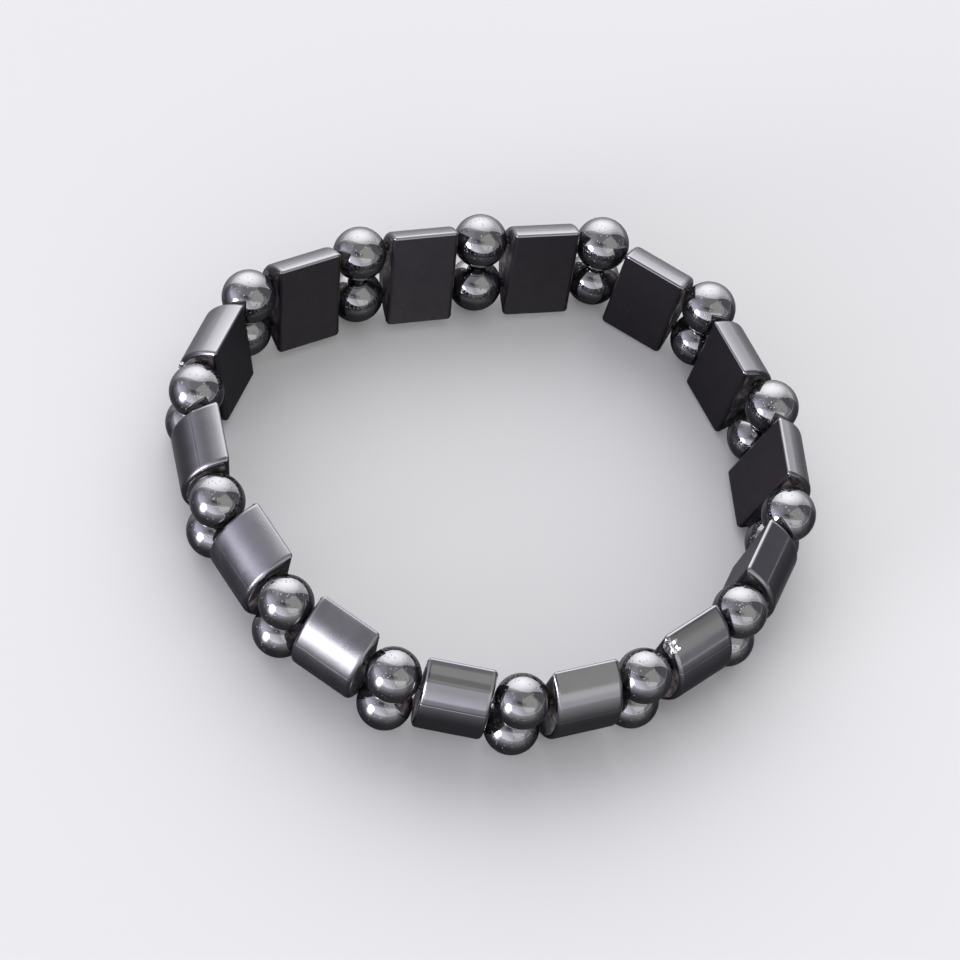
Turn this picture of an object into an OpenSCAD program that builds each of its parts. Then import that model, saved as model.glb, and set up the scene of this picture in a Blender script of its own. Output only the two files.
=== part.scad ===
// Stretch bracelet: domed two-hole plates and pairs of round beads on two elastic cords, in mm.
// It lies on a flat surface as it fell, and the origin is the middle of its plan box on that surface.
// The string is followed clockwise, seen from above, from the plate at the far left.
// Each plate stands on edge, its top leans a little out of the loop, and a pair of beads follows it.

/* [Plates] */
// Length of a plate along the cords
plate_l = 7.5; // [5:0.1:12]
// Height of a plate across both cords
plate_h = 12; // [10:0.1:16]
// Thickness of a plate, from its flat back to the top of its dome
plate_t = 5.3; // [4.5:0.1:6.4]
// Thickness of a plate at its top and bottom edges, where the dome starts
side_t = 0.5; // [0.4:0.1:1.6]
// Distance of the bores from the flat back
bore_depth = 2.4; // [1.8:0.1:3]
// Chamfer along a plate's back edges and corners
edge = 0.3; // [0.1:0.05:0.4]

/* [Beads] */
// Diameter of a bead
bead_d = 6; // [4.5:0.1:7.5]
// Gap between the upper and the lower bead of a pair
pair_gap = 0.3; // [0.25:0.05:1]
// Gap between a bead and the end of the plate beside it
end_gap = 0.1; // [0.05:0.05:0.5]

/* [Cords] */
// Diameter of an elastic cord
cord_d = 0.7; // [0.4:0.1:1.2]
// Room all round a cord in its bores
bore_play = 0.2; // [0.1:0.05:0.4]

/* [Hidden] */
// How the string lies: the directions of the plates in plan, in degrees. The last two plates close the loop
spread_angles = [41, 28, 25, -15, -48, -68, -98, -126, -146, -172, -199, -222];
// How far the top of each plate leans out, in degrees
lean_angles = [16, 20, 14, 5, 4, 16, 8, 8, 10, 8, 6, 1, 8, 14];

// Along the string
spread_count = len(spread_angles);
count = len(lean_angles);
pitch = plate_l + bead_d + 2 * end_gap;
function along(head) = [cos(head), sin(head), 0];
function outward(head) = [-sin(head), cos(head), 0];
function unit(v) = v / norm(v);
function next(i) = (i + 1) % count;

// The corners of the lower cord's plan, one before each plate
function open_corner(i) = i == 0 ? [0, 0, 0] : open_corner(i - 1) + pitch * along(spread_angles[i - 1]);
open_corners = [for (i = [0:spread_count]) open_corner(i)];

// The last two sides are the equal sides of a triangle that closes the loop
closing_chord = open_corners[0] - open_corners[spread_count];
chord_head = atan2(closing_chord.y, closing_chord.x);
chord_bend = acos(norm(closing_chord) / (2 * pitch));
heads = concat(spread_angles, [chord_head + chord_bend, chord_head - chord_bend]);
corners = concat(open_corners, [open_corners[spread_count] + pitch * along(heads[spread_count])]);

// Cross-section of a plate: the bores' plane is at y = 0
bore_pitch = bead_d + pair_gap;
bore_d = cord_d + 2 * bore_play;
side_y = side_t - bore_depth;
dome_y = plate_t - bore_depth;
dome_rise = plate_t - side_t;
dome_r = (plate_h * plate_h / 4 + dome_rise * dome_rise) / (2 * dome_rise);
dome_half_angle = 2 * atan(2 * dome_rise / plate_h);

// How far a leaning plate reaches below its middle: to the edge of its dome, or to the dome itself
function reach(lean) =
    lean < 90 - dome_half_angle
        ? plate_h / 2 * cos(lean) + side_y * sin(lean)
        : dome_r + (dome_y - dome_r) * sin(lean);

// Height of the lower cord: the string lies on its lower beads, or on its plates if they reach lower
lower_z = max(bead_d / 2, max([for (lean = lean_angles) reach(lean) - bore_pitch / 2 * cos(lean)]));

// A plate's own upward and outward directions, and the middle of its lower bore.
// Up to the centre below, places are not yet centred on the origin.
function upright(i) = outward(heads[i]) * sin(lean_angles[i]) + [0, 0, cos(lean_angles[i])];
function facing(i) = outward(heads[i]) * cos(lean_angles[i]) - [0, 0, sin(lean_angles[i])];
function lower_middle(i) = (corners[i] + corners[next(i)]) / 2 + [0, 0, lower_z];

// The two cords, and the middles and ends of their bores through a plate
LOWER = false;
UPPER = true;
function plate_middle(i) = lower_middle(i) + upright(i) * bore_pitch / 2;
function bore_middle(i, level) = lower_middle(i) + (level == UPPER ? upright(i) * bore_pitch : [0, 0, 0]);
function bore_end(i, level, s) = bore_middle(i, level) + along(heads[i]) * s * plate_l / 2;

// A bead sits on the line between the bores before and after it, unless the two plates close on it:
// then they push it out of the loop until it clears both
function bead_line(i, level) = [bore_end(i, level, 1), bore_end(next(i), level, -1)];
function bead_middle(i, level) =
    let (
        line = bead_line(i, level),
        middle = (line[0] + line[1]) / 2,
        out = unit(outward(heads[i]) + outward(heads[next(i)])),
        room = min((middle - line[0]) * along(heads[i]), (line[1] - middle) * along(heads[next(i)])),
        push = max(0, bead_d / 2 + end_gap - room) / (out * along(heads[i]))
    )
    middle + out * push;

// The plan box of the domes and the beads, whose middle becomes the origin
dome_points = [
    for (i = [0:count - 1], s = [-1, 1], a = [-40:5:40])
        plate_middle(i)
            + along(heads[i]) * s * (plate_l / 2 - edge)
            + upright(i) * dome_r * sin(a)
            + facing(i) * (dome_y - dome_r + dome_r * cos(a))
];
bead_points = [
    for (i = [0:count - 1], level = [LOWER, UPPER], side = [[-1, -1, 0], [1, 1, 0]])
        bead_middle(i, level) + side * bead_d / 2
];
function middle(axis) =
    let (places = [for (p = concat(dome_points, bead_points)) p[axis]])
    (min(places) + max(places)) / 2;
centre = [middle(0), middle(1), 0];

// One plate: seen along the cords, from above and from the front
module section() {
    intersection() {
        translate([dome_y - dome_r, 0]) circle(dome_r);
        polygon([
            [dome_y, -plate_h / 2],
            [dome_y, plate_h / 2],
            [edge - bore_depth, plate_h / 2],
            [-bore_depth, plate_h / 2 - edge],
            [-bore_depth, edge - plate_h / 2],
            [edge - bore_depth, -plate_h / 2],
        ]);
    }
}

module chamfered(low, high) {
    polygon([
        [low.x + edge, low.y],
        [high.x - edge, low.y],
        [high.x, low.y + edge],
        [high.x, high.y - edge],
        [high.x - edge, high.y],
        [low.x + edge, high.y],
        [low.x, high.y - edge],
        [low.x, low.y + edge],
    ]);
}

module plate(i) {
    color([0.27, 0.27, 0.29])
    translate(plate_middle(i) - centre)
    rotate([-lean_angles[i], 0, heads[i]])
    difference() {
        intersection() {
            rotate([90, 0, 90]) linear_extrude(plate_l, center = true) section();
            linear_extrude(2 * plate_h, center = true)
                chamfered([-plate_l / 2, -bore_depth], [plate_l / 2, dome_y]);
            rotate([90, 0, 0]) linear_extrude(4 * plate_t, center = true)
                chamfered([-plate_l / 2, -plate_h / 2], [plate_l / 2, plate_h / 2]);
        }
        for (s = [-1, 1])
            translate([0, 0, s * bore_pitch / 2])
                rotate([0, 90, 0])
                    cylinder(d = bore_d, h = 2 * plate_l, center = true);
    }
}

// One bead, bored along its cord
module bead(i, level) {
    line = bead_line(i, level);
    span = line[1] - line[0];
    color([0.38, 0.38, 0.4])
    translate(-centre)
    difference() {
        translate(bead_middle(i, level)) rotate([0, 0, atan2(span.y, span.x) - 90]) sphere(d = bead_d);
        translate((line[0] + line[1]) / 2)
            rotate([0, acos(span.z / norm(span)), atan2(span.y, span.x)])
                cylinder(d = bore_d, h = 2 * bead_d, center = true);
    }
}

// One cord: a closed tube with eight sides, straight in each plate and in each bead
cord_sides = 8;
module elastic(level) {
    route = [for (i = [0:count - 1], s = [-1, 1]) bore_end(i, level, s)];
    stops = len(route);
    ring_points = [
        for (k = [0:stops - 1])
            let (
                back = unit(route[k] - route[(k + stops - 1) % stops]),
                ahead = unit(route[(k + 1) % stops] - route[k]),
                side = unit(cross([0, 0, 1], back + ahead)),
                top = cross(unit(back + ahead), side)
            )
            for (a = [0:360 / cord_sides:359])
                route[k] + cord_d / 2 * (side * cos(a) + top * sin(a))
    ];
    color([0.08, 0.08, 0.08])
    translate(-centre)
    polyhedron(
        points = ring_points,
        faces = [
            for (k = [0:stops - 1], a = [0:cord_sides - 1])
                let (b = (a + 1) % cord_sides, m = (k + 1) % stops)
                [
                    k * cord_sides + a,
                    m * cord_sides + a,
                    m * cord_sides + b,
                    k * cord_sides + b,
                ]
        ]
    );
}

function number(i) = str(i < 9 ? "0" : "", i + 1);

for (i = [0:count - 1]) {
    plate(i);
    bead(i, UPPER);
    bead(i, LOWER);
}
elastic(UPPER);  // upper_elastic
elastic(LOWER);  // lower_elastic
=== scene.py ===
"""Looks of a stretch bracelet of magnetic hematite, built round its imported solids.

The bracelet lies as it fell: fourteen domed plates with two bores each, a pair of round beads after every plate,
and two elastic cords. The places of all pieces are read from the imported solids. Lengths are in metres.
"""

import logging
from dataclasses import dataclass, field
from enum import Enum

import bmesh
import bpy
import numpy as np
from mathutils import Matrix, Vector


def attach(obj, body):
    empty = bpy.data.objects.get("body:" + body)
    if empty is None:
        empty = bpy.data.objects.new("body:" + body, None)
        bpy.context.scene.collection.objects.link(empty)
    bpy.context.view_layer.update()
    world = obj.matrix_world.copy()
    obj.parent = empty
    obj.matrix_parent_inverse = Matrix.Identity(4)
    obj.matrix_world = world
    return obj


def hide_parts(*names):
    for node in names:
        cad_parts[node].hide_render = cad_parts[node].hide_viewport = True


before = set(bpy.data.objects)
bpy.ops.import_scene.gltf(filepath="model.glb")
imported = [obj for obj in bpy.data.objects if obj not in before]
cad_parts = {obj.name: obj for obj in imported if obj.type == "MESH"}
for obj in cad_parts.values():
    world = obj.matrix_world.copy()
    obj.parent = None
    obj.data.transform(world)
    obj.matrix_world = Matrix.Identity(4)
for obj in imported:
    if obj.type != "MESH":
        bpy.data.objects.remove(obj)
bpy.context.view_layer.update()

LOG = logging.getLogger("bracelet")
Array = np.ndarray
Socket = bpy.types.NodeSocket
MM = 0.001
TINY = 0.001
UP = np.array([0.0, 0.0, 1.0])


class Level(Enum):
    """Which of the two strings a bead or a cord is on, by the sign of its height on a plate."""

    LOWER = -1
    UPPER = 1


class Face(Enum):
    """The finishes of a plate, by material slot."""

    POLISHED = 0
    BACK = 1
    GROUND = 2


def linear(code: str) -> tuple[float, float, float, float]:
    """Turns an sRGB hex colour to linear light, by the two-part curve of that standard.

    Args:
        code: The colour, as "#rrggbb".

    Returns:
        Red, green and blue in linear light, and an alpha of 1.
    """
    encoded = np.array([int(code[i:i + 2], 16) for i in (1, 3, 5)]) / 255
    light = np.where(encoded <= 0.04045, encoded / 12.92, ((encoded + 0.055) / 1.055) ** 2.4)
    return (*light.tolist(), 1.0)


def unit(vector: Array) -> Array:
    """Scales a vector, or each of an array of them, to length 1."""
    return vector / np.linalg.norm(vector, axis=-1, keepdims=True)


def eased(start: float, end: float, steps: int) -> Array:
    """Steps from start to end that lie closer together towards both ends, as half a cosine wave does."""
    return start + (end - start) * (0.5 - 0.5 * np.cos(np.linspace(0.0, np.pi, steps + 1)))


def add_node(
    tree: bpy.types.NodeTree,
    kind: str,
    settings: dict[str, object] | None = None,
    inputs: dict[str | int, object] | None = None,
) -> bpy.types.Node:
    """Adds a node to a tree, with its settings and what goes into it.

    Args:
        tree: The node tree.
        kind: The node's class name.
        settings: The node's own properties by name.
        inputs: For each input, by name or number, a socket to link from or a plain value.

    Returns:
        The new node.
    """
    node = tree.nodes.new(kind)
    for name, value in (settings or {}).items():
        setattr(node, name, value)
    for name, value in (inputs or {}).items():
        if isinstance(value, Socket):
            tree.links.new(value, node.inputs[name])
        else:
            node.inputs[name].default_value = value
    return node


def start_material(name: str) -> tuple[bpy.types.Material, bpy.types.NodeTree, bpy.types.Node]:
    """Makes a material that has nodes.

    Args:
        name: The material's name.

    Returns:
        The material, its node tree and its shader.
    """
    material = bpy.data.materials.new(name)
    material.use_nodes = True
    return material, material.node_tree, material.node_tree.nodes["Principled BSDF"]


def grid_quads(table: Array, wrap_rows: bool, wrap_columns: bool) -> Array:
    """Joins the neighbours of a table of vertex numbers with four-sided faces.

    Args:
        table: Vertex numbers in rows and columns.
        wrap_rows: Whether the last row also joins the first.
        wrap_columns: Whether the last column also joins the first.

    Returns:
        One row of four vertex numbers for each face.
    """
    if wrap_rows:
        table = np.vstack([table, table[:1]])
    if wrap_columns:
        table = np.hstack([table, table[:, :1]])
    corners = (table[:-1, :-1], table[:-1, 1:], table[1:, 1:], table[1:, :-1])
    return np.stack([corner.ravel() for corner in corners], axis=1)


@dataclass
class Skin:
    """A mesh that is put together from tables of points."""

    points: list[Array] = field(default_factory=list)
    quads: list[Array] = field(default_factory=list)
    slots: list[Array] = field(default_factory=list)
    count: int = 0

    def add_points(self, points: Array) -> Array:
        """Adds a table of points.

        Args:
            points: Places, with their three coordinates on the last axis.

        Returns:
            The new vertices' numbers, in the same table.
        """
        numbers = self.count + np.arange(points[..., 0].size)
        self.points.append(points.reshape(-1, 3))
        self.count += numbers.size
        return numbers.reshape(points.shape[:-1])

    def add_quads(self, table: Array, slot: int = 0, wrap_rows: bool = False, wrap_columns: bool = False) -> None:
        """Covers a table of vertex numbers with faces of one material slot.

        Args:
            table: Vertex numbers in rows and columns.
            slot: The faces' material slot.
            wrap_rows: Whether the last row also joins the first.
            wrap_columns: Whether the last column also joins the first.
        """
        quads = grid_quads(table, wrap_rows, wrap_columns)
        self.quads.append(quads)
        self.slots.append(np.full(len(quads), slot))

    def make(self, name: str, materials: list[bpy.types.Material]) -> bpy.types.Object:
        """Makes the closed, smooth object with its faces outward.

        Args:
            name: The object's name.
            materials: Its materials, in the order of the slots.

        Returns:
            The object, at the origin, with its place in its mesh.
        """
        mesh = bpy.data.meshes.new(name)
        mesh.from_pydata(np.vstack(self.points).tolist(), [], np.vstack(self.quads).tolist())
        mesh.polygons.foreach_set("material_index", np.concatenate(self.slots))
        shape = bmesh.new()
        shape.from_mesh(mesh)
        bmesh.ops.recalc_face_normals(shape, faces=shape.faces)
        shape.to_mesh(mesh)
        shape.free()
        mesh.polygons.foreach_set("use_smooth", np.ones(len(mesh.polygons), bool))
        for material in materials:
            mesh.materials.append(material)
        piece = bpy.data.objects.new(name, mesh)
        bpy.context.scene.collection.objects.link(piece)
        return piece


def hand_over(piece: bpy.types.Object, node: str) -> None:
    """Lets a piece stand for its solid on the bracelet's one body, and logs it.

    Args:
        piece: The finished piece.
        node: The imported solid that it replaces.
    """
    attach(piece, "root")
    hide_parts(node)
    LOG.info("%s replaces %s with %d faces", piece.name, node, len(piece.data.polygons))


def node_points(node: str) -> Array:
    """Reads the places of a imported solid's vertices.

    Args:
        node: The solid's name.

    Returns:
        One row of three coordinates for each vertex.
    """
    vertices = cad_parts[node].data.vertices
    places = np.empty(3 * len(vertices), np.float32)
    vertices.foreach_get("co", places)
    return places.reshape(-1, 3).astype(float)


@dataclass(frozen=True)
class BeadHematite:
    """Round hematite beads, tumbled to a mirror polish.

    Hematite is a dark grey iron oxide that shines like metal. The polish shows the whole room, many small pits stay
    in it, and its last scratches make the edges of reflections waver. A pit's wall lies between the two shares of
    pit_size that pit_wall says.
    """

    dark: str = "#7c7c80"
    light: str = "#8a8a8c"
    roughness: float = 0.03
    cloud_size: float = 2.5 * MM
    waver_size: float = 1.1 * MM
    waver_height: float = 0.0016 * MM
    pit_spacing: float = 0.42 * MM
    pit_size: float = 0.06 * MM
    pit_wall: tuple[float, float] = (0.5, 1.5)
    pit_depth: float = 0.03 * MM

    def material(self) -> bpy.types.Material:
        """Makes the beads' material.

        Returns:
            The material, ready for its pieces.
        """
        material, tree, shader = start_material("polished_hematite_bead")
        place = add_node(tree, "ShaderNodeTexCoord").outputs["Object"]
        cloud = add_node(tree, "ShaderNodeTexNoise", inputs={
            "Vector": place, "Scale": 1 / self.cloud_size, "Detail": 3.0})
        tint = add_node(tree, "ShaderNodeMix", {"data_type": "RGBA"}, {
            "Factor": cloud.outputs["Fac"], "A": linear(self.dark), "B": linear(self.light)})
        waver = add_node(tree, "ShaderNodeTexNoise", inputs={
            "Vector": place, "Scale": 1 / self.waver_size, "Detail": 2.0})
        soft = add_node(tree, "ShaderNodeBump", inputs={
            "Height": waver.outputs["Fac"], "Distance": self.waver_height})
        cell = add_node(tree, "ShaderNodeTexVoronoi", inputs={
            "Vector": place, "Scale": 1 / self.pit_spacing})
        radius = self.pit_size / self.pit_spacing
        pit = add_node(tree, "ShaderNodeMapRange", {"interpolation_type": "SMOOTHSTEP"}, {
            "Value": cell.outputs["Distance"],
            "From Min": self.pit_wall[0] * radius, "From Max": self.pit_wall[1] * radius})
        dent = add_node(tree, "ShaderNodeBump", inputs={
            "Height": pit.outputs["Result"], "Distance": self.pit_depth, "Normal": soft.outputs["Normal"]})
        tree.links.new(tint.outputs["Result"], shader.inputs["Base Color"])
        tree.links.new(dent.outputs["Normal"], shader.inputs["Normal"])
        shader.inputs["Metallic"].default_value = 1.0
        shader.inputs["Roughness"].default_value = self.roughness
        return material


@dataclass(frozen=True)
class ChippedHematite:
    """Fresh breaks at chipped ends: broken hematite, silvery and full of small flat facets that sparkle."""

    colour: str = "#dcdce0"
    reach: float = 1.1 * MM
    ragged_share: float = 2.0
    border_share: float = 0.05
    ragged_size: float = 0.7 * MM
    facet_size: float = 0.3 * MM
    tilt: float = 1.6

    def cover(self, tree: bpy.types.NodeTree, place: Socket, shader: bpy.types.Node) -> None:
        """Lays the breaks over what a shader shows so far.

        A point is broken where distance + noise * ragged_share * reach < reach * (1 + ragged_share / 2), with a
        noise from 0 to 1, so the break reaches about one reach from the chip and its border is ragged. Every facet
        tilts the surface its own way, by a random vector.

        Args:
            tree: The material's node tree.
            place: The place on the plate.
            shader: The shader, whose colour and normal are linked.
        """
        distance = add_node(tree, "ShaderNodeAttribute", {"attribute_name": "from_chip"}).outputs["Fac"]
        noise = add_node(tree, "ShaderNodeTexNoise", inputs={
            "Vector": place, "Scale": 1 / self.ragged_size, "Detail": 4.0}).outputs["Fac"]
        ragged = add_node(tree, "ShaderNodeMath", {"operation": "MULTIPLY_ADD"}, {
            0: noise, 1: self.ragged_share * self.reach, 2: distance}).outputs[0]
        edge = 1 + self.ragged_share / 2
        broken = add_node(tree, "ShaderNodeMapRange", inputs={
            "Value": ragged, "To Min": 1.0, "To Max": 0.0,
            "From Min": (edge - self.border_share) * self.reach,
            "From Max": (edge + self.border_share) * self.reach}).outputs["Result"]
        facets = add_node(tree, "ShaderNodeTexVoronoi", inputs={
            "Vector": place, "Scale": 1 / self.facet_size}).outputs["Color"]
        lean = add_node(tree, "ShaderNodeVectorMath", {"operation": "SUBTRACT"}, {
            0: facets, 1: (0.5, 0.5, 0.5)}).outputs[0]
        amount = add_node(tree, "ShaderNodeMath", {"operation": "MULTIPLY"}, {0: broken, 1: self.tilt}).outputs[0]
        leaning = add_node(tree, "ShaderNodeVectorMath", {"operation": "SCALE"}, {
            0: lean, "Scale": amount}).outputs[0]
        turned = add_node(tree, "ShaderNodeVectorMath", {"operation": "ADD"}, {
            0: shader.inputs["Normal"].links[0].from_socket, 1: leaning}).outputs[0]
        normal = add_node(tree, "ShaderNodeVectorMath", {"operation": "NORMALIZE"}, {0: turned}).outputs[0]
        colour = add_node(tree, "ShaderNodeMix", {"data_type": "RGBA"}, {
            "Factor": broken, "A": shader.inputs["Base Color"].links[0].from_socket,
            "B": linear(self.colour)}).outputs["Result"]
        tree.links.new(colour, shader.inputs["Base Color"])
        tree.links.new(normal, shader.inputs["Normal"])


@dataclass(frozen=True)
class PlateHematite:
    """The domes and edges of the plates: hematite ground lengthwise and then polished.

    Lights show as bands along the plate. On some plates the polish is bright, and on others the haze of the grinding
    softens the bands and gives them a fine grain, which is drawn coarser than the real one so that it shows. A thin
    line is left where the grinding passes met.
    """

    dark: str = "#757479"
    light: str = "#858488"
    bright: float = 0.07
    hazy: float = 0.32
    cloud_size: float = 3.0 * MM
    cloud_range: tuple[float, float] = (0.3, 0.7)
    cloud_share: float = 0.05
    grain_size: float = 0.14 * MM
    grain_height: float = 0.012 * MM
    line_width: float = 0.15 * MM
    line_length: float = 5.0 * MM
    line_height: float = 0.0006 * MM
    seam_width: float = 0.1 * MM
    seam_depth: float = 0.012 * MM

    def material(self) -> bpy.types.Material:
        """Makes the material of the polished faces.

        Returns:
            The material, ready for its pieces.
        """
        material, tree, shader = start_material("polished_hematite_plate")
        place = add_node(tree, "ShaderNodeAttribute", {"attribute_name": "own_place"}).outputs["Vector"]
        satin = add_node(tree, "ShaderNodeAttribute", {"attribute_name": "satin"}).outputs["Fac"]
        cloud = add_node(tree, "ShaderNodeTexNoise", inputs={
            "Vector": place, "Scale": 1 / self.cloud_size, "Detail": 4.0})
        tint = add_node(tree, "ShaderNodeMix", {"data_type": "RGBA"}, {
            "Factor": cloud.outputs["Fac"], "A": linear(self.dark), "B": linear(self.light)})
        haze = add_node(tree, "ShaderNodeMapRange", inputs={
            "Value": satin, "To Min": self.bright, "To Max": self.hazy})
        uneven = add_node(tree, "ShaderNodeMapRange", inputs={
            "Value": cloud.outputs["Fac"], "From Min": self.cloud_range[0], "From Max": self.cloud_range[1],
            "To Min": -self.cloud_share, "To Max": self.cloud_share})
        gloss = add_node(tree, "ShaderNodeMath", {"operation": "ADD"}, {
            0: haze.outputs["Result"], 1: uneven.outputs["Result"]})
        stretched = add_node(tree, "ShaderNodeMapping", inputs={
            "Vector": place, "Scale": (1 / self.line_length, 1 / self.line_width, 1 / self.line_width)})
        lines = add_node(tree, "ShaderNodeTexNoise", inputs={
            "Vector": stretched.outputs["Vector"], "Scale": 1.0, "Detail": 2.0})
        ground = add_node(tree, "ShaderNodeBump", inputs={
            "Height": lines.outputs["Fac"], "Distance": self.line_height})
        grain = add_node(tree, "ShaderNodeTexNoise", inputs={
            "Vector": place, "Scale": 1 / self.grain_size, "Detail": 1.0})
        grainy = add_node(tree, "ShaderNodeMath", {"operation": "MULTIPLY"}, {
            0: grain.outputs["Fac"], 1: satin})
        rough = add_node(tree, "ShaderNodeBump", inputs={
            "Height": grainy.outputs[0], "Distance": self.grain_height, "Normal": ground.outputs["Normal"]})
        past = add_node(tree, "ShaderNodeAttribute", {"attribute_name": "past_seam"}).outputs["Fac"]
        seam = add_node(tree, "ShaderNodeMath", {"operation": "ABSOLUTE"}, {0: past}).outputs[0]
        ridge = add_node(tree, "ShaderNodeMapRange", {"interpolation_type": "SMOOTHSTEP"}, {
            "Value": seam, "From Max": self.seam_width})
        creased = add_node(tree, "ShaderNodeBump", inputs={
            "Height": ridge.outputs["Result"], "Distance": self.seam_depth, "Normal": rough.outputs["Normal"]})
        tree.links.new(tint.outputs["Result"], shader.inputs["Base Color"])
        tree.links.new(gloss.outputs[0], shader.inputs["Roughness"])
        tree.links.new(creased.outputs["Normal"], shader.inputs["Normal"])
        shader.inputs["Metallic"].default_value = 1.0
        ChippedHematite().cover(tree, place, shader)
        return material


@dataclass(frozen=True)
class BackHematite:
    """The flat backs: hematite lapped flat and left half matte.

    It looks near black with a brown cast, and faint rust red grains show in it. The grit marks are drawn coarser
    than the real ones so that they show.
    """

    dark: str = "#57545a"
    light: str = "#636065"
    grain: str = "#7a5c5c"
    roughness: float = 0.34
    cloud_size: float = 1.5 * MM
    grain_spacing: float = 0.5 * MM
    grain_range: tuple[float, float] = (0.62, 0.72)
    grit_size: float = 0.09 * MM
    grit_height: float = 0.001 * MM

    def material(self) -> bpy.types.Material:
        """Makes the material of the backs.

        Returns:
            The material, ready for its pieces.
        """
        material, tree, shader = start_material("lapped_hematite_back")
        place = add_node(tree, "ShaderNodeAttribute", {"attribute_name": "own_place"}).outputs["Vector"]
        cloud = add_node(tree, "ShaderNodeTexNoise", inputs={
            "Vector": place, "Scale": 1 / self.cloud_size, "Detail": 5.0})
        tint = add_node(tree, "ShaderNodeMix", {"data_type": "RGBA"}, {
            "Factor": cloud.outputs["Fac"], "A": linear(self.dark), "B": linear(self.light)})
        grains = add_node(tree, "ShaderNodeTexNoise", inputs={
            "Vector": place, "Scale": 1 / self.grain_spacing, "Detail": 2.0})
        chosen = add_node(tree, "ShaderNodeMapRange", inputs={
            "Value": grains.outputs["Fac"], "From Min": self.grain_range[0], "From Max": self.grain_range[1]})
        colour = add_node(tree, "ShaderNodeMix", {"data_type": "RGBA"}, {
            "Factor": chosen.outputs["Result"], "A": tint.outputs["Result"], "B": linear(self.grain)})
        grit = add_node(tree, "ShaderNodeTexNoise", inputs={
            "Vector": place, "Scale": 1 / self.grit_size, "Detail": 2.0})
        bump = add_node(tree, "ShaderNodeBump", inputs={
            "Height": grit.outputs["Fac"], "Distance": self.grit_height})
        tree.links.new(colour.outputs["Result"], shader.inputs["Base Color"])
        tree.links.new(bump.outputs["Normal"], shader.inputs["Normal"])
        shader.inputs["Metallic"].default_value = 1.0
        shader.inputs["Roughness"].default_value = self.roughness
        return material


@dataclass(frozen=True)
class GroundHematite:
    """The ends of the plates: hematite as the grinding wheel left it.

    Unpolished hematite is a dull dark grey, and its powder is red, so pinkish patches lie on the coarse grit marks.
    """

    dark: str = "#2f2f31"
    light: str = "#66656a"
    powder: str = "#b7a6a3"
    roughness: float = 0.5
    metal: float = 0.75
    cloud_size: float = 0.8 * MM
    cloud_crispness: float = 0.65
    patch_size: float = 2.2 * MM
    patch_crispness: float = 0.7
    patch_range: tuple[float, float] = (0.5, 0.64)
    grit_size: float = 0.12 * MM
    grit_height: float = 0.01 * MM

    def material(self) -> bpy.types.Material:
        """Makes the material of the plates' ends and bores.

        Returns:
            The material, ready for its pieces.
        """
        material, tree, shader = start_material("ground_hematite_end")
        place = add_node(tree, "ShaderNodeAttribute", {"attribute_name": "own_place"}).outputs["Vector"]
        cloud = add_node(tree, "ShaderNodeTexNoise", inputs={
            "Vector": place, "Scale": 1 / self.cloud_size, "Detail": 6.0, "Roughness": self.cloud_crispness})
        tint = add_node(tree, "ShaderNodeMix", {"data_type": "RGBA"}, {
            "Factor": cloud.outputs["Fac"], "A": linear(self.dark), "B": linear(self.light)})
        patches = add_node(tree, "ShaderNodeTexNoise", inputs={
            "Vector": place, "Scale": 1 / self.patch_size, "Detail": 5.0, "Roughness": self.patch_crispness})
        dusty = add_node(tree, "ShaderNodeMapRange", inputs={
            "Value": patches.outputs["Fac"], "From Min": self.patch_range[0], "From Max": self.patch_range[1]})
        colour = add_node(tree, "ShaderNodeMix", {"data_type": "RGBA"}, {
            "Factor": dusty.outputs["Result"], "A": tint.outputs["Result"], "B": linear(self.powder)})
        grit = add_node(tree, "ShaderNodeTexNoise", inputs={
            "Vector": place, "Scale": 1 / self.grit_size, "Detail": 3.0})
        bump = add_node(tree, "ShaderNodeBump", inputs={
            "Height": grit.outputs["Fac"], "Distance": self.grit_height})
        tree.links.new(colour.outputs["Result"], shader.inputs["Base Color"])
        tree.links.new(bump.outputs["Normal"], shader.inputs["Normal"])
        shader.inputs["Metallic"].default_value = self.metal
        shader.inputs["Roughness"].default_value = self.roughness
        ChippedHematite().cover(tree, place, shader)
        return material


@dataclass(frozen=True)
class ElasticRubber:
    """The cords: smooth black elastic, extruded round, with a faint silky sheen and fine bloom.

    The fibres are drawn coarser than the real ones so that they show.
    """

    dark: str = "#0c0c0d"
    light: str = "#1d1d20"
    roughness: float = 0.4
    refraction: float = 1.5
    bloom_size: float = 0.5 * MM
    fibre_size: float = 0.08 * MM
    fibre_height: float = 0.004 * MM

    def material(self) -> bpy.types.Material:
        """Makes the cords' material.

        Returns:
            The material, ready for its pieces.
        """
        material, tree, shader = start_material("black_elastic_cord")
        place = add_node(tree, "ShaderNodeTexCoord").outputs["Object"]
        bloom = add_node(tree, "ShaderNodeTexNoise", inputs={
            "Vector": place, "Scale": 1 / self.bloom_size, "Detail": 3.0})
        tint = add_node(tree, "ShaderNodeMix", {"data_type": "RGBA"}, {
            "Factor": bloom.outputs["Fac"], "A": linear(self.dark), "B": linear(self.light)})
        fibre = add_node(tree, "ShaderNodeTexNoise", inputs={
            "Vector": place, "Scale": 1 / self.fibre_size, "Detail": 1.0})
        bump = add_node(tree, "ShaderNodeBump", inputs={
            "Height": fibre.outputs["Fac"], "Distance": self.fibre_height})
        tree.links.new(tint.outputs["Result"], shader.inputs["Base Color"])
        tree.links.new(bump.outputs["Normal"], shader.inputs["Normal"])
        shader.inputs["Roughness"].default_value = self.roughness
        shader.inputs["IOR"].default_value = self.refraction
        return material


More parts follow.
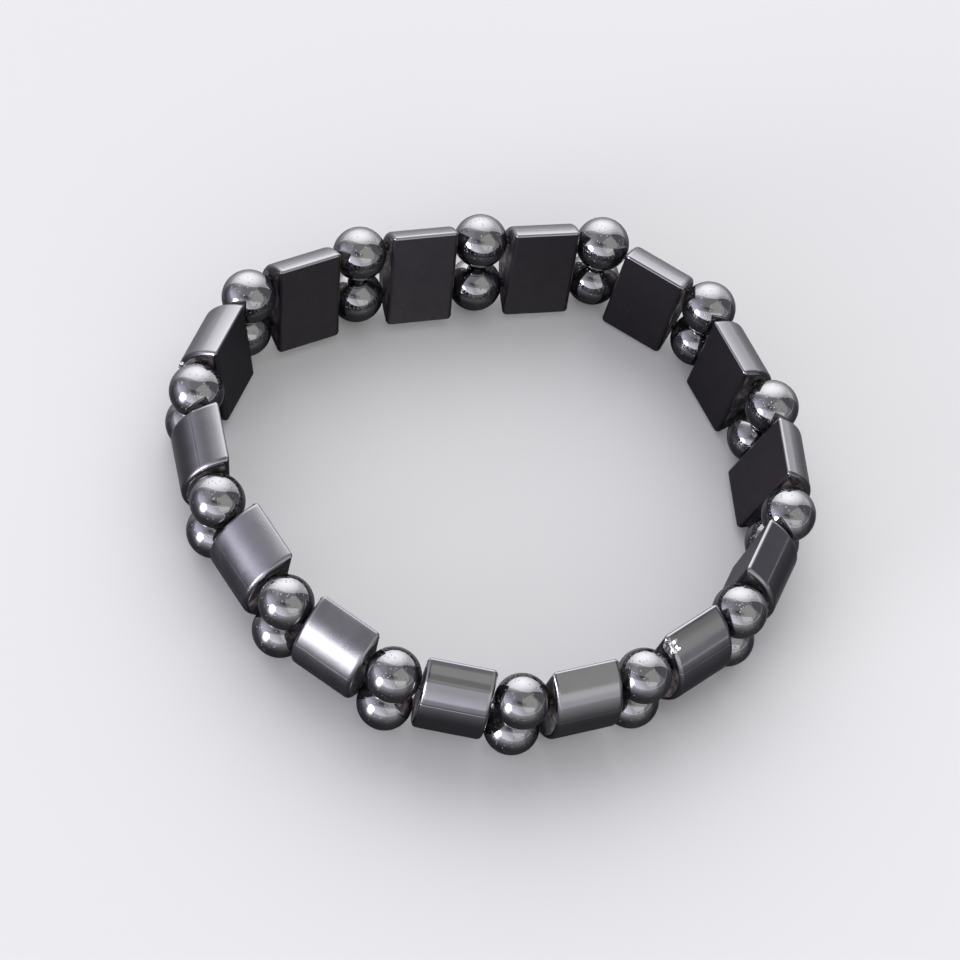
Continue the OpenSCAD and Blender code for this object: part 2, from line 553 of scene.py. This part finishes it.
@dataclass
class Plate:
    """One domed plate with two bores, in its own directions: along the cords, out of the loop and up.

    Its haze, the height where its grinding passes met and its chipped place are satin, seam and chip, as the
    bracelet says.
    """

    number: int
    satin: float
    seam: float
    chip: Array
    bore_depth: float = 2.4 * MM
    bore_pitch: float = 6.3 * MM
    bore_radius: float = 0.55 * MM
    edge: float = 0.3 * MM
    rim: float = 0.5 * MM
    lip: float = 0.1 * MM
    dome_steps: int = 44
    back_steps: int = 20
    turn_steps: int = 6
    length_steps: int = 24
    mid_line_thinning: int = 3
    cap_rings: int = 8

    def __post_init__(self) -> None:
        """Reads the plate's directions and sizes from its solid, whose back is its largest flat triangle."""
        self.node = f"plate_{self.number:02d}"
        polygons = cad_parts[self.node].data.polygons
        areas = np.empty(len(polygons), np.float32)
        normals = np.empty(3 * len(polygons), np.float32)
        polygons.foreach_get("area", areas)
        polygons.foreach_get("normal", normals)
        self.facing = unit(-normals.reshape(-1, 3)[np.argmax(areas)].astype(float))
        self.along = unit(np.cross(self.facing, UP))
        self.upright = np.cross(self.along, self.facing)
        axes = np.stack([self.along, self.facing, self.upright])
        own = node_points(self.node) @ axes.T
        low, high = own.min(axis=0), own.max(axis=0)
        self.length, self.thickness, self.height = high - low
        middle = (low + high) / 2
        middle[1] = low[1] + self.bore_depth
        self.axes = axes
        self.middle = middle @ axes

    def place(self, own: Array) -> Array:
        """Turns own coordinates, from the plate's middle between its bores, to the shared frame."""
        return self.middle + own @ self.axes

    def bore_end(self, level: Level, side: int) -> Array:
        """The point where a bore opens, on the end before (-1) or after (1) the plate."""
        return self.place(np.array([side * self.length / 2, 0.0, level.value * self.bore_pitch / 2]))

    def outline(self) -> tuple[Array, Array, Array]:
        """Works out the outline seen along the cords: a dome, two rounded back edges and a straight back.

        The edges' middles and the dome's top less the edge's radius lie on one circle. Its chord is the height and
        its rise the thickness, each less two edge radii, so its radius is (chord^2 / 4 + rise^2) / (2 * rise), and
        the dome's is one edge radius more. An arc of radius r moves the outline outward by r * (cos b - cos a) and
        up by r * (sin b - sin a) while its normal turns from a to b.

        Returns:
            The outward and upward coordinates and the normal's angle, from the middle of the dome over the top to
            the middle of the back, and on round the lower half.
        """
        half_chord, rise = self.height / 2 - self.edge, self.thickness - 2 * self.edge
        core = (half_chord ** 2 + rise ** 2) / (2 * rise)
        dome_end = np.arcsin(half_chord / core)
        steps = (self.dome_steps, 2 * self.turn_steps)
        radius = np.repeat([core + self.edge, self.edge], steps)
        turn = np.repeat(np.diff([0.0, dome_end, np.pi]) / steps, steps)
        angle = np.concatenate([[0.0], np.cumsum(turn)])
        out = self.thickness - self.bore_depth + np.concatenate([[0.0], np.cumsum(radius * np.diff(np.cos(angle)))])
        high = np.concatenate([[0.0], np.cumsum(radius * np.diff(np.sin(angle)))])
        down = high[-1] * np.cos(np.linspace(0.0, np.pi / 2, self.back_steps + 1))[1:]
        out = np.concatenate([out, np.full(self.back_steps, out[-1])])
        high = np.concatenate([high, down])
        angle = np.concatenate([angle, np.full(self.back_steps, np.pi)])
        lower = slice(-2, 0, -1)
        return (
            np.concatenate([out, out[lower]]),
            np.concatenate([high, -high[lower]]),
            np.concatenate([angle, -angle[lower]]),
        )

    def add_sides(self, skin: Skin) -> tuple[Array, int]:
        """Carries the outline along the plate, and rolls it in at both ends by a quarter circle.

        At each row the outline moves in by inset along its normals, where inset is rim * (1 - cos a) and the row
        lies at rim * sin a past the straight part.

        Args:
            skin: The mesh to add to.

        Returns:
            The table of vertex numbers, a row for each place along the plate, and how many columns the upper half
            has.
        """
        out, high, angle = self.outline()
        turn = np.linspace(0.0, np.pi / 2, self.turn_steps + 1)
        straight = self.length / 2 - self.rim
        rows = np.concatenate([
            -straight - self.rim * np.sin(turn[:0:-1]),
            eased(-straight, straight, self.length_steps),
            straight + self.rim * np.sin(turn[1:]),
        ])
        inset = self.rim * np.concatenate([
            1 - np.cos(turn[:0:-1]),
            np.zeros(self.length_steps + 1),
            1 - np.cos(turn[1:]),
        ])
        own = np.stack([
            np.broadcast_to(rows[:, None], (rows.size, out.size)),
            out - inset[:, None] * np.cos(angle),
            high - inset[:, None] * np.sin(angle),
        ], axis=-1)
        table = skin.add_points(own)
        half = out.size // 2 + 1
        first_back = half - 1 - self.back_steps
        last_back = out.size - first_back
        wrapped = np.hstack([table, table[:, :1]])
        skin.add_quads(wrapped[:, :first_back + 1], Face.POLISHED.value)
        skin.add_quads(wrapped[:, first_back:last_back + 1], Face.BACK.value)
        skin.add_quads(wrapped[:, last_back:], Face.POLISHED.value)
        return table, half

    def add_ends(self, skin: Skin, table: Array, half: int) -> None:
        """Closes both ends round the bores, and joins them through each bore.

        Half of an end lies between the outline and the mid-line, and its bore is a circle in it. Each ring between
        them is a share of the way from the circle to the border, in the border point's own direction.

        Args:
            skin: The mesh to add to.
            table: The sides' vertex numbers.
            half: How many columns the upper half has.
        """
        known = np.vstack(skin.points)
        halves = {
            Level.UPPER: np.arange(half),
            Level.LOWER: np.concatenate([[0], np.arange(table.shape[1] - 1, half - 2, -1)]),
        }
        mouths: dict[tuple[Level, int], Array] = {}
        for end, row in ((-1, 0), (1, -1)):
            outer, inner = known[table[row, half - 1]], known[table[row, 0]]
            share = np.linspace(0.0, 1.0, half // self.mid_line_thinning)[1:-1, None]
            mid_line = skin.add_points(outer + (inner - outer) * share)
            known = np.vstack(skin.points)
            for level, columns in halves.items():
                border = np.concatenate([table[row, columns], mid_line])
                bore = np.array([end * self.length / 2, 0.0, level.value * self.bore_pitch / 2])
                way = known[border] - bore
                mouth = unit(way) * (self.bore_radius + self.lip)
                share = eased(0.0, 1.0, self.cap_rings)[:-1, None, None]
                rings = skin.add_points(bore + mouth + (way - mouth) * share)
                skin.add_quads(np.vstack([rings, border[None]]), Face.GROUND.value, wrap_columns=True)
                mouths[level, end] = rings[0]
        for level in Level:
            self.add_bore(skin, mouths[level, -1], mouths[level, 1], level)

    def add_bore(self, skin: Skin, start: Array, finish: Array, level: Level) -> None:
        """Joins two mouths by a tube whose lips are quarter circles.

        Args:
            skin: The mesh to add to.
            start: The vertex numbers of the mouth at the plate's first end.
            finish: Those of the mouth at its other end.
            level: Which bore it is.
        """
        known = np.vstack(skin.points)
        bore = np.array([0.0, 0.0, level.value * self.bore_pitch / 2])
        way = (known[start] - bore) * [0.0, 1.0, 1.0]
        turn = np.linspace(0.0, np.pi / 2, self.turn_steps + 1)[1:]
        depth = self.lip * (1 - np.cos(turn))
        radius = self.bore_radius + self.lip * (1 - np.sin(turn))
        rows = np.concatenate([depth - self.length / 2, self.length / 2 - depth[::-1]])
        radii = np.concatenate([radius, radius[::-1]])
        own = bore + rows[:, None, None] * [1.0, 0.0, 0.0] + radii[:, None, None] * unit(way)
        inside = skin.add_points(own)
        skin.add_quads(np.vstack([start[None], inside, finish[None]]), Face.GROUND.value, wrap_columns=True)

    def build(self, materials: list[bpy.types.Material]) -> bpy.types.Object:
        """Builds the plate and hands it over.

        Its attributes are what the finishes read. Each plate's own_place is shifted two lengths further than the
        last one's, so that no two plates show the same part of a pattern.

        Args:
            materials: The polished, back and ground finishes.

        Returns:
            The finished plate.
        """
        skin = Skin()
        self.add_ends(skin, *self.add_sides(skin))
        own = np.vstack(skin.points)
        skin.points = [self.place(own)]
        piece = skin.make(f"domed_{self.node}", materials)
        marks = {
            "satin": np.full(len(own), self.satin),
            "past_seam": np.abs(own[:, 2]) - self.seam,
            "from_chip": np.linalg.norm(own - self.chip, axis=1),
        }
        for name, values in marks.items():
            piece.data.attributes.new(name, "FLOAT", "POINT").data.foreach_set("value", values)
        places = piece.data.attributes.new("own_place", "FLOAT_VECTOR", "POINT")
        places.data.foreach_set("vector", (own + [self.number * 2 * self.length, 0.0, 0.0]).ravel())
        hand_over(piece, self.node)
        return piece


@dataclass
class Bead:
    """One round bead, bored along the line between the bores of the plates beside it."""

    number: int
    level: Level
    start: Array
    finish: Array
    bore_radius: float = 0.55 * MM
    lip: float = 0.12 * MM
    columns: int = 72
    arc_steps: int = 44
    turn_steps: int = 4

    def __post_init__(self) -> None:
        """Reads the ball from its solid, on whose surface all vertices lie.

        A ball's points fulfil p . p = 2 centre . p + (radius^2 - centre . centre), which is solved by least
        squares.
        """
        self.node = f"{self.level.name.lower()}_bead_{self.number:02d}"
        points = node_points(self.node)
        terms = np.hstack([2 * points, np.ones((len(points), 1))])
        *centre, rest = np.linalg.lstsq(terms, (points ** 2).sum(axis=1), rcond=None)[0]
        self.centre = np.array(centre)
        self.radius = float(np.sqrt(rest + self.centre @ self.centre))

    def build(self, material: bpy.types.Material) -> bpy.types.Object:
        """Builds the bead as a surface round its bore and hands it over.

        A half-plane through the bore's axis cuts the ball in a circle. For each direction round the axis, the
        outline follows this circle from one mouth to the other, rolls in over a quarter circle, and comes back
        along the bore.

        Args:
            material: The beads' finish.

        Returns:
            The finished bead.
        """
        axis = unit(self.finish - self.start)
        across = unit(np.cross(axis, UP))
        over = np.cross(across, axis)
        to_centre = self.centre - self.start
        foot = self.start + axis * (to_centre @ axis)
        round_axis = np.linspace(0.0, 2 * np.pi, self.columns, endpoint=False)
        way = np.cos(round_axis)[:, None] * across + np.sin(round_axis)[:, None] * over
        middle = way @ (self.centre - foot)
        circle = np.sqrt(self.radius ** 2 - (self.centre - foot) @ (self.centre - foot) + middle ** 2)
        mouth = np.arcsin((self.bore_radius + self.lip - middle) / circle)
        angle = mouth + (np.pi - 2 * mouth) * np.linspace(0.0, 1.0, self.arc_steps + 1)[:, None]
        turn = np.linspace(0.0, np.pi / 2, self.turn_steps + 1)[1:, None]
        half_width = circle * np.cos(mouth) - self.lip * (1 - np.cos(turn))
        rolled = np.broadcast_to(self.bore_radius + self.lip * (1 - np.sin(turn)), half_width.shape)
        rows = np.vstack([-circle * np.cos(angle), half_width, -half_width[::-1]])
        radii = np.vstack([middle + circle * np.sin(angle), rolled, rolled[::-1]])
        skin = Skin()
        table = skin.add_points(foot + rows[..., None] * axis + radii[..., None] * way)
        skin.add_quads(table, wrap_rows=True, wrap_columns=True)
        piece = skin.make(f"round_{self.node}", [material])
        hand_over(piece, self.node)
        return piece


@dataclass
class Elastic:
    """One closed elastic cord through all bores of a level."""

    level: Level
    stops: Array
    radius: float = 0.35 * MM
    sides: int = 12
    step: float = 0.35 * MM
    bend: int = 5

    def route(self) -> Array:
        """Samples the closed line through the stops evenly, and rounds its corners.

        The rounding is a moving average over bend samples, taken round the loop.

        Returns:
            The points of the cord's middle line.
        """
        closed = np.vstack([self.stops, self.stops[:1]])
        walked = np.concatenate([[0.0], np.cumsum(np.linalg.norm(np.diff(closed, axis=0), axis=1))])
        even = np.linspace(0.0, walked[-1], int(walked[-1] / self.step), endpoint=False)
        line = np.stack([np.interp(even, walked, closed[:, axis]) for axis in range(3)], axis=1)
        shifts = np.arange(self.bend) - self.bend // 2
        return np.mean([np.roll(line, shift, axis=0) for shift in shifts], axis=0)

    def build(self, material: bpy.types.Material) -> bpy.types.Object:
        """Carries a circle along the route, square to it, and hands the cord over.

        Args:
            material: The cords' finish.

        Returns:
            The finished cord.
        """
        line = self.route()
        ahead = unit(np.roll(line, -1, axis=0) - np.roll(line, 1, axis=0))
        side = unit(np.cross(UP, ahead))
        top = np.cross(ahead, side)
        turn = np.linspace(0.0, 2 * np.pi, self.sides, endpoint=False)[:, None]
        ring = self.radius * (np.cos(turn) * side[:, None] + np.sin(turn) * top[:, None])
        skin = Skin()
        table = skin.add_points(line[:, None] + ring)
        skin.add_quads(table, wrap_rows=True, wrap_columns=True)
        node = f"{self.level.name.lower()}_elastic"
        piece = skin.make(f"round_{node}", [material])
        hand_over(piece, node)
        return piece


@dataclass
class Bracelet:
    """The whole string, in its order clockwise from the plate at the far left.

    No two plates are polished alike: satin says how much of the grinding's haze is left on each, and seams in
    millimetres how far above and below its middle the grinding passes met. Two plates have a chipped end, and chips
    says where, in millimetres along, outward and up from the middle between the bores. The other plates' chip is
    out of reach.
    """

    satin: tuple[float, ...] = (0.3, 0.4, 0.3, 0.2, 0.3, 0.2, 0.1, 0.2, 0.3, 0.0, 0.9, 0.8, 0.4, 0.4)
    seams: tuple[float, ...] = (3.1, 2.7, 3.4, 2.5, 3.0, 3.3, 2.8, 3.6, 2.6, 3.2, 2.2, 2.15, 4.6, 2.9)
    chips: dict[int, tuple[float, float, float]] = field(default_factory=lambda: {
        8: (3.85, -1.1, 5.3), 14: (-3.75, 2.6, 2.0)})
    unchipped: tuple[float, float, float] = (0.0, 0.0, 100.0)

    def build(self) -> None:
        """Builds all plates, and then for each level its beads and its cord."""
        dressed = [PlateHematite().material(), BackHematite().material(), GroundHematite().material()]
        polished = BeadHematite().material()
        rubber = ElasticRubber().material()
        chips = [np.array(self.chips.get(i + 1, self.unchipped)) * MM for i in range(len(self.satin))]
        seams = [seam * MM for seam in self.seams]
        plates = [Plate(i + 1, *marks) for i, marks in enumerate(zip(self.satin, seams, chips))]
        for plate in plates:
            plate.build(dressed)
        for level in Level:
            for plate, after in zip(plates, plates[1:] + plates[:1]):
                start, finish = plate.bore_end(level, 1), after.bore_end(level, -1)
                Bead(plate.number, level, start, finish).build(polished)
            stops = np.array([plate.bore_end(level, side) for plate in plates for side in (-1, 1)])
            Elastic(level, stops).build(rubber)


@dataclass(frozen=True)
class SoftLight:
    """A soft rectangular patch of light or shade in the studio, seen from the bracelet.

    Azimuth 0 is straight ahead of the viewer and 90 to the right. The patch reaches half_width and half_height
    from its middle, in degrees, and fades out over the share of them that softness says.
    """

    azimuth: float
    elevation: float
    half_width: float
    half_height: float
    softness: float
    strength: float
    squareness: float = 4.0
    colour: str = "#ffffff"

    def glow(self, tree: bpy.types.NodeTree, direction: Socket) -> Socket:
        """Adds the nodes that give the patch's light in each direction.

        On a flat screen square to the middle, across and up are its two coordinates as shares of the reach. The
        patch is bright where (across^n + up^n)^(1/n) is under 1, with n its squareness.

        Args:
            tree: The world's node tree.
            direction: The direction looked in.

        Returns:
            The strength of the light.
        """
        sideways = Matrix.Rotation(-np.radians(self.azimuth), 3, "Z")
        turn = sideways @ Matrix.Rotation(np.radians(self.elevation), 3, "X")
        depth, across, over = (
            add_node(tree, "ShaderNodeVectorMath", {"operation": "DOT_PRODUCT"}, {
                0: direction, 1: tuple(turn @ Vector(axis))}).outputs["Value"]
            for axis in ((0, 1, 0), (1, 0, 0), (0, 0, 1)))
        near = add_node(tree, "ShaderNodeMath", {"operation": "MAXIMUM"}, {0: depth, 1: TINY}).outputs[0]
        powers = []
        for offset, half in ((across, self.half_width), (over, self.half_height)):
            flat = add_node(tree, "ShaderNodeMath", {"operation": "DIVIDE"}, {0: offset, 1: near}).outputs[0]
            share = add_node(tree, "ShaderNodeMath", {"operation": "DIVIDE"}, {
                0: flat, 1: float(np.tan(np.radians(half)))}).outputs[0]
            size = add_node(tree, "ShaderNodeMath", {"operation": "ABSOLUTE"}, {0: share}).outputs[0]
            powers.append(add_node(tree, "ShaderNodeMath", {"operation": "POWER"}, {
                0: size, 1: self.squareness}).outputs[0])
        total = add_node(tree, "ShaderNodeMath", {"operation": "ADD"}, {0: powers[0], 1: powers[1]}).outputs[0]
        reach = add_node(tree, "ShaderNodeMath", {"operation": "POWER"}, {
            0: total, 1: 1 / self.squareness}).outputs[0]
        fade = add_node(tree, "ShaderNodeMapRange", {"interpolation_type": "SMOOTHSTEP"}, {
            "Value": reach, "From Min": 1 - self.softness, "From Max": 1 + self.softness,
            "To Min": self.strength, "To Max": 0.0}).outputs["Result"]
        in_front = add_node(tree, "ShaderNodeMath", {"operation": "GREATER_THAN"}, {0: depth, 1: TINY}).outputs[0]
        return add_node(tree, "ShaderNodeMath", {"operation": "MULTIPLY"}, {0: fade, 1: in_front}).outputs[0]


@dataclass(frozen=True)
class Studio:
    """The pale floor, the soft light and the camera."""

    floor_colour: str = "#c2c2c4"
    floor_reflected: str = "#323138"
    floor_roughness: float = 0.5
    floor_shine: float = 0.25
    floor_polish: float = 0.25
    floor_lacquer: float = 1.5
    floor_half: float = 4.0
    room: float = 0.62
    room_colour: str = "#fafaff"
    lights: tuple[SoftLight, ...] = (
        SoftLight(azimuth=-10, elevation=0, half_width=59, half_height=81, softness=0.02, strength=0.95),
        SoftLight(azimuth=-24, elevation=35, half_width=33, half_height=32, softness=1.0, strength=2.5,
                  squareness=2.0),
        SoftLight(azimuth=-110, elevation=24, half_width=19, half_height=31, softness=0.35, strength=0.32,
                  colour="#e9e4ff"),
        SoftLight(azimuth=62, elevation=20, half_width=21, half_height=40, softness=0.12, strength=-0.3),
        SoftLight(azimuth=126, elevation=45, half_width=30, half_height=31, softness=0.03, strength=0.5,
                  colour="#edecd6"),
        SoftLight(azimuth=167, elevation=20, half_width=50, half_height=18, softness=0.03, strength=0.78),
        SoftLight(azimuth=112, elevation=2, half_width=66, half_height=1.3, softness=0.5, strength=0.6),
        SoftLight(azimuth=180, elevation=51, half_width=20, half_height=6, softness=0.25, strength=-0.36),
        SoftLight(azimuth=-139, elevation=7, half_width=10, half_height=10, softness=0.6, strength=24.0,
                  squareness=2.0),
        SoftLight(azimuth=-142, elevation=1, half_width=48, half_height=25, softness=1.0, strength=1.5,
                  squareness=2.0, colour="#ece6ff"),
    )
    camera_place: tuple[float, float, float] = (-0.000526, -0.273917, 0.42897)
    camera_tilt: float = 32.72
    camera_roll: float = 18.03
    camera_lens: float = 173.88
    camera_sensor: float = 36.0
    camera_near: float = 10 * MM

    def build_floor(self) -> None:
        """Lays a plain pale floor under the bracelet.

        In reflections it is dimmer and has the sheen of lacquer, so the polished pieces keep a dark lower half with
        a soft glow at the horizon.
        """
        material = bpy.data.materials.new("pale_floor")
        material.use_nodes = True
        tree = material.node_tree
        seen = add_node(tree, "ShaderNodeLightPath").outputs["Is Camera Ray"]
        pale = add_node(tree, "ShaderNodeBsdfDiffuse", inputs={"Color": linear(self.floor_colour)})
        dim = add_node(tree, "ShaderNodeBsdfPrincipled", inputs={
            "Base Color": linear(self.floor_reflected), "Roughness": self.floor_roughness,
            "Specular IOR Level": self.floor_shine, "Coat Weight": 1.0, "Coat Roughness": self.floor_polish,
            "Coat IOR": self.floor_lacquer})
        choice = add_node(tree, "ShaderNodeMixShader", inputs={0: seen, 1: dim.outputs[0], 2: pale.outputs[0]})
        tree.links.new(choice.outputs[0], tree.nodes["Material Output"].inputs["Surface"])
        skin = Skin()
        corners = self.floor_half * np.array([[[-1, -1, 0], [1, -1, 0]], [[-1, 1, 0], [1, 1, 0]]], float)
        skin.add_quads(skin.add_points(corners))
        skin.make("pale_floor", [material])

    def build_light(self) -> None:
        """Lights the studio from all round, dim but for its soft patches.

        The camera sees the plain colour of the floor past the floor's edge.
        """
        world = bpy.data.worlds.new("soft_studio")
        bpy.context.scene.world = world
        world.use_nodes = True
        tree = world.node_tree
        background = tree.nodes["Background"]
        direction = add_node(tree, "ShaderNodeTexCoord").outputs["Generated"]
        colour = add_node(tree, "ShaderNodeVectorMath", {"operation": "SCALE"}, {
            0: linear(self.room_colour)[:3], "Scale": self.room}).outputs[0]
        for patch in self.lights:
            colour = add_node(tree, "ShaderNodeVectorMath", {"operation": "MULTIPLY_ADD"}, {
                0: patch.glow(tree, direction), 1: linear(patch.colour)[:3], 2: colour}).outputs[0]
        tree.links.new(colour, background.inputs["Color"])
        plain = add_node(tree, "ShaderNodeBackground", inputs={"Color": linear(self.floor_colour), "Strength": 1.0})
        seen = add_node(tree, "ShaderNodeLightPath").outputs["Is Camera Ray"]
        choice = add_node(tree, "ShaderNodeMixShader", inputs={
            0: seen, 1: background.outputs[0], 2: plain.outputs[0]})
        tree.links.new(choice.outputs[0], tree.nodes["World Output"].inputs["Surface"])

    def build_camera(self) -> None:
        """Sets the camera that looks down at the bracelet, turned a little about its own line of sight."""
        lens = bpy.data.cameras.new("camera")
        lens.lens = self.camera_lens
        lens.sensor_width = self.camera_sensor
        lens.clip_start = self.camera_near
        camera = bpy.data.objects.new("camera", lens)
        bpy.context.scene.collection.objects.link(camera)
        tilt = Matrix.Rotation(np.radians(self.camera_tilt), 4, "X")
        roll = Matrix.Rotation(np.radians(self.camera_roll), 4, "Z")
        camera.matrix_world = Matrix.Translation(self.camera_place) @ tilt @ roll
        bpy.context.scene.camera = camera

    def build(self) -> None:
        """Builds the studio, and shows light as a plain display does, so that white stays white."""
        bpy.context.scene.view_settings.view_transform = "Standard"
        self.build_camera()
        self.build_floor()
        self.build_light()


def main() -> None:
    """Builds the studio and the bracelet."""
    logging.basicConfig(level=logging.INFO, format="%(message)s")
    Studio().build()
    Bracelet().build()


if __name__ == "__main__":
    main()
